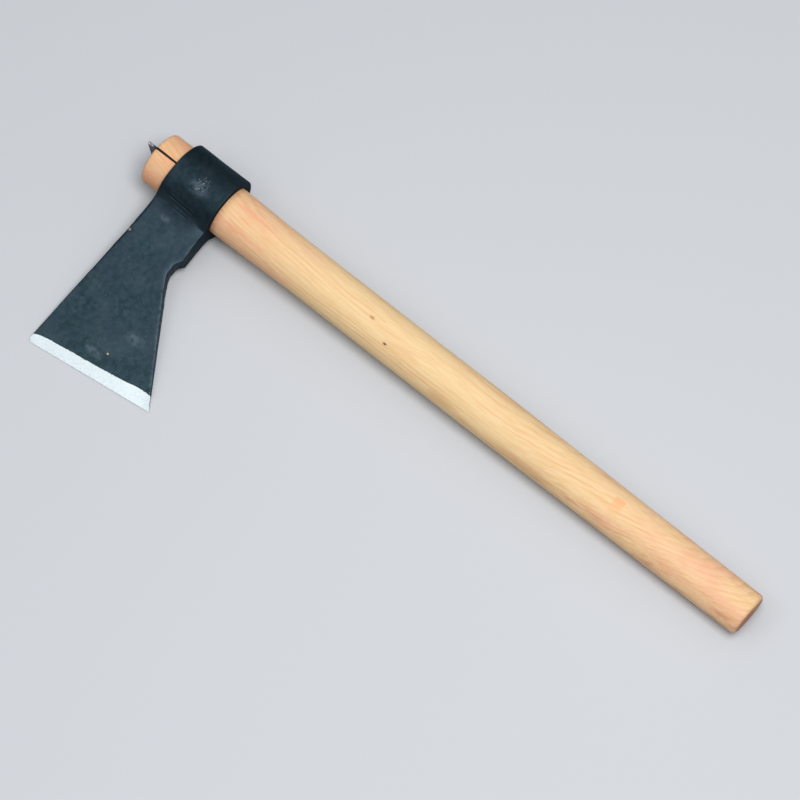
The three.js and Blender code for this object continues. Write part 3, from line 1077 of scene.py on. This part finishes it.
def wedge_steel():
    steel = Recipe("wedge_steel")
    torn = steel.cloud(steel.squeezed(0.5, 1.6, 1.6), detail=4.0, roughness=0.65)
    rubbed = steel.times(steel.step(steel.z, 14.9, 15.7), steel.step(steel.x, -0.5, -3.5))
    rubbed = steel.times(rubbed, steel.step(torn, 0.35, 0.55))
    tone = steel.blend(steel.step(torn, 0.3, 0.7), colour(30, 32, 34), colour(54, 55, 56))
    steel.feed(steel.shader.inputs["Base Color"], steel.blend(rubbed, tone, colour(188, 186, 180)))
    steel.feed(steel.shader.inputs["Roughness"], steel.plus(0.34, steel.times(torn, 0.25)))
    steel.shader.inputs["Metallic"].default_value = 0.75
    steel.feed(steel.shader.inputs["Normal"], steel.relief(torn, SHEARED_RELIEF))
    return steel.material


# %% [markdown]
# A plain box would look like plastic, so the wedge is a net of loops from its struck end to its
# tip. Its thickness tapers, its outline wanders by a tenth of a millimetre, and its long edges are
# softened. It is drawn straight and then turned with the kerf.

# %% Shear the wedge
WEDGE_AT_END, WEDGE_AT_TIP = 1.75, 0.6
WEDGE_STEPS_LONG, WEDGE_STEPS_WIDE = 90, 84


def wedge_surface():
    """Loops round the sliver, from its struck end to its tip, as seen in the kerf."""
    points, rows = [], []
    for i in range(WEDGE_STEPS_LONG + 1):
        along_wedge = i / WEDGE_STEPS_LONG
        x = -WEDGE_OUT + WEDGE_LENGTH * along_wedge
        at_end = min(along_wedge, 1 - along_wedge) * WEDGE_LENGTH
        softened = 1 - 0.45 * max(0.0, 1 - at_end / 0.3) ** 2
        struck = 1 + 0.1 * max(0.0, 1 - along_wedge * WEDGE_LENGTH / 2.0)
        thickness = WEDGE_AT_END + (WEDGE_AT_TIP - WEDGE_AT_END) * along_wedge
        half_y = thickness / 2 * struck * softened
        half_z = WEDGE_BREADTH / 2 - 0.12 - 0.25 * (1 - softened)
        loop = []
        for side in (1, -1):
            for k in range(WEDGE_STEPS_WIDE + 1):
                across = side * math.cos(math.pi * k / WEDGE_STEPS_WIDE)
                z = across * half_z + 0.1 * bump_at(x, 7, across * 3, 2.2) * abs(across) ** 8
                soft_side = 1 - 0.5 * max(0.0, 1 - (1 - abs(across)) * half_z / 0.35) ** 2
                y = side * half_y * soft_side + 0.04 * bump_at(x, side * 9, z, 2.5)
                loop.append(turned(x, y, z))
        rows.append(list(range(len(points), len(points) + len(loop))))
        points += loop
    quads = sew(rows, closed=True)
    for row in (rows[0], rows[-1]):
        half = len(row) // 2
        quads += sew([row[:half], row[half:][::-1]])
    return points, quads


wedge = make_piece("steel_wedge", *wedge_surface(), [wedge_steel()])

# %% [markdown]
# ## Put every piece in its place
#
# The pieces were drawn in the axe's own directions. Now each takes its real pose, rides with the
# axe and stands in for its measured solid. Edges sharper than 35 degrees are kept crisp, so flat
# faces stay flat under smooth shading.

# %% Settle the pieces
CRISP_ABOVE = math.radians(35)


def settle(piece, measured_node):
    piece.data.transform(axe_pose)
    piece.data.set_sharp_from_angle(angle=CRISP_ABOVE)
    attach(piece, "root")
    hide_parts(measured_node)
    span = np.ptp([tuple(v.co) for v in piece.data.vertices], axis=0) / MM
    print(piece.name, "spans", [round(float(v), 1) for v in span], "mm")


settle(haft, "haft")
settle(head, "axe_head")
settle(wedge, "steel_wedge")

# %% [markdown]
# ## Bring the scene up to date
#
# The dressed axe must be as big as the measured one. The last line brings the scene up to date.

# %% Bring the scene up to date
bpy.context.view_layer.update()
